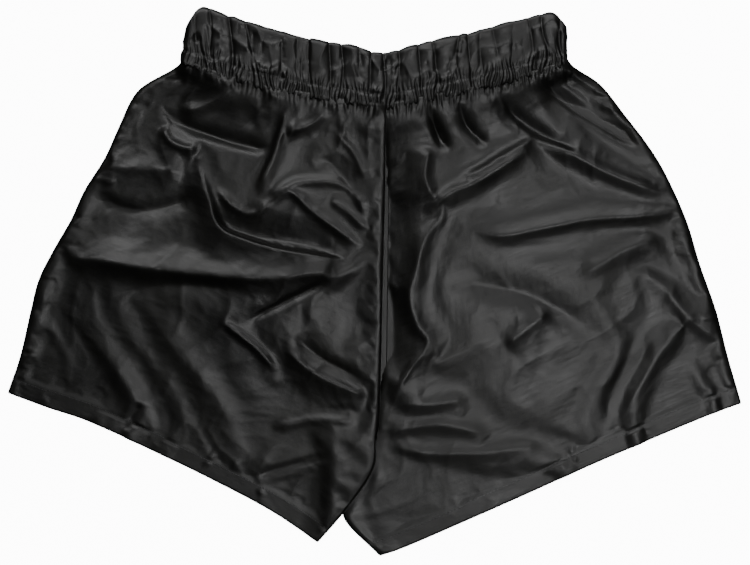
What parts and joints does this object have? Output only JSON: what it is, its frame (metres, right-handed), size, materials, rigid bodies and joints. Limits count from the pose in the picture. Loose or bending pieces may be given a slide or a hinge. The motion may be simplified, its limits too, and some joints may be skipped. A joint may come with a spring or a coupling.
{
  "type": "boxing shorts",
  "caption": "Loose satin boxing shorts with a gathered elastic waistband and wide flared legs, lying flat with the front up, able to fold in half.",
  "frame": {"origin": "centre of the footprint, on the surface that the shorts lie on", "axes": "+Z away from the surface and out of the front of the shorts, +Y from the hems to the waistband, +X to the wearer's left"},
  "size_m": [0.641, 0.476, 0.019],
  "materials": {
    "satin": "satin weave with a soft sheen",
    "thread": "polyester sewing thread",
    "elastic": "woven elastic"
  },
  "bodies": {
    "left_half": {"front_left_panel": "satin", "back_left_panel": "satin", "waistband_casing_left": "satin", "waist_elastic_left": "elastic", "waist_stitching_left": "thread", "left_hem_stitching": "thread", "left_side_seam": "thread", "left_inseam": "thread", "front_rise_seam": "satin", "back_rise_seam": "satin"},
    "right_half": {"front_right_panel": "satin", "back_right_panel": "satin", "waistband_casing_right": "satin", "waist_elastic_right": "elastic", "waist_stitching_right": "thread", "right_hem_stitching": "thread", "right_side_seam": "thread", "right_inseam": "thread"}
  },
  "joints": [
    {"name": "centre_fold", "type": "hinge", "parent": "left_half", "child": "right_half", "pos_m": [0.005, 0, 0.02], "axis": [0, 1, 0], "range_deg": [0, 180]}
  ]
}
